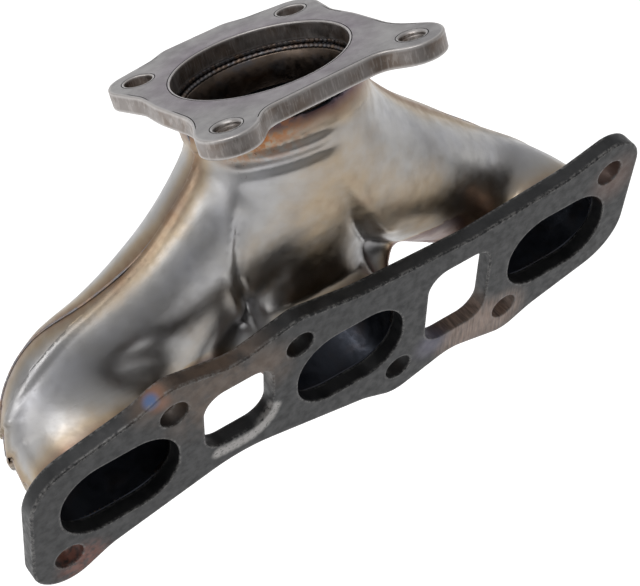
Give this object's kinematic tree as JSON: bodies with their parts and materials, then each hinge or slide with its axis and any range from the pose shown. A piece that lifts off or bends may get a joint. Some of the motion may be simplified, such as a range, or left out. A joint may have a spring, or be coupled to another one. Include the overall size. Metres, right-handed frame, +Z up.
{
  "type": "exhaust manifold",
  "caption": "Fabricated exhaust manifold: long oval-ported head plate, pressed half-shell runners that merge upward, and a lobed outlet plate with a large bore.",
  "frame": {"origin": "centre of the middle port on the face that meets the engine", "axes": "+X along the head plate from port 1 to port 3, +Y away from the engine, +Z up towards the outlet"},
  "size_m": [0.2844, 0.1058, 0.173],
  "materials": {
    "scaled_steel": "dark oxide scale, worn at the edges",
    "ground_steel": "ground flat, faint heat tint",
    "stainless_upper": "satin pressed sheet with straw and brown heat tint",
    "stainless_lower": "satin pressed sheet with brown heat tint",
    "collar_steel": "dull, heat darkened",
    "weld_metal": "rippled bead, brown and blue heat tint"
  },
  "bodies": {
    "root": {"head_flange": "scaled_steel", "outlet_flange": "ground_steel", "upper_shell": "stainless_upper", "lower_shell": "stainless_lower", "outlet_collar": "collar_steel", "port_weld_1": "weld_metal", "port_weld_2": "weld_metal", "port_weld_3": "weld_metal", "left_seam_weld": "weld_metal", "right_seam_weld": "weld_metal", "crotch_weld_left": "weld_metal", "crotch_weld_right": "weld_metal", "collar_weld": "weld_metal", "outlet_weld": "weld_metal"}
  },
  "joints": []
}
